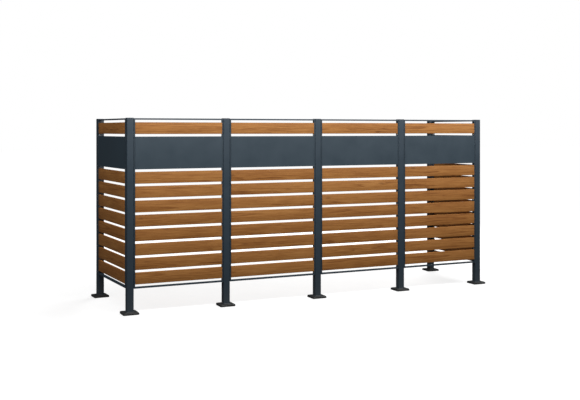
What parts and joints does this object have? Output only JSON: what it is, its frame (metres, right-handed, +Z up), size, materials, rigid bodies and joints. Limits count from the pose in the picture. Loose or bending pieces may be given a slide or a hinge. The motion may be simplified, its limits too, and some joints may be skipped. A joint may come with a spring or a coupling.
{
  "type": "recycling bin station",
  "caption": "Slatted bin enclosure: bays of timber slats with a metal sheet band between square steel posts, two wings, open back.",
  "frame": {"origin": "on the ground, at the middle of the footprint of the base plates", "axes": "+X along the front, to the right as seen from outside; +Y from the slatted front to the open back; +Z up"},
  "size_m": [4.1416, 1.1188, 1.8],
  "materials": {
    "frame_coating": "satin anthracite powder coat",
    "base_plate_coating": "satin near-black powder coat",
    "sheet_coating": "satin anthracite powder coat",
    "timber": "oiled golden brown, open grain",
    "fastener_steel": "stainless"
  },
  "bodies": {
    "root": {"rear_left_post_base_plate": "base_plate_coating", "rear_left_post_tube": "frame_coating", "front_post_1_base_plate": "base_plate_coating", "front_post_1_tube": "frame_coating", "front_post_2_base_plate": "base_plate_coating", "front_post_2_tube": "frame_coating", "front_post_3_base_plate": "base_plate_coating", "front_post_3_tube": "frame_coating", "front_post_4_base_plate": "base_plate_coating", "front_post_4_tube": "frame_coating", "front_post_5_base_plate": "base_plate_coating", "front_post_5_tube": "frame_coating", "rear_right_post_base_plate": "base_plate_coating", "rear_right_post_tube": "frame_coating", "bay_1_left_stile": "frame_coating", "bay_1_right_stile": "frame_coating", "bay_1_top_rail": "frame_coating", "bay_1_bottom_rail": "frame_coating", "bay_1_metal_sheet": "sheet_coating", "bay_1_top_slat": "timber", "bay_1_lower_slats": "timber", "bay_2_left_stile": "frame_coating", "bay_2_right_stile": "frame_coating", "bay_2_top_rail": "frame_coating", "bay_2_bottom_rail": "frame_coating", "bay_2_metal_sheet": "sheet_coating", "bay_2_top_slat": "timber", "bay_2_lower_slats": "timber", "bay_3_left_stile": "frame_coating", "bay_3_right_stile": "frame_coating", "bay_3_top_rail": "frame_coating", "bay_3_bottom_rail": "frame_coating", "bay_3_metal_sheet": "sheet_coating", "bay_3_top_slat": "timber", "bay_3_lower_slats": "timber", "bay_4_left_stile": "frame_coating", "bay_4_right_stile": "frame_coating", "bay_4_top_rail": "frame_coating", "bay_4_bottom_rail": "frame_coating", "bay_4_metal_sheet": "sheet_coating", "bay_4_top_slat": "timber", "bay_4_lower_slats": "timber", "left_wing_left_stile": "frame_coating", "left_wing_right_stile": "frame_coating", "left_wing_top_rail": "frame_coating", "left_wing_bottom_rail": "frame_coating", "left_wing_metal_sheet": "sheet_coating", "left_wing_top_slat": "timber", "left_wing_lower_slats": "timber", "right_wing_left_stile": "frame_coating", "right_wing_right_stile": "frame_coating", "right_wing_top_rail": "frame_coating", "right_wing_bottom_rail": "frame_coating", "right_wing_metal_sheet": "sheet_coating", "right_wing_top_slat": "timber", "right_wing_lower_slats": "timber"}
  },
  "joints": []
}
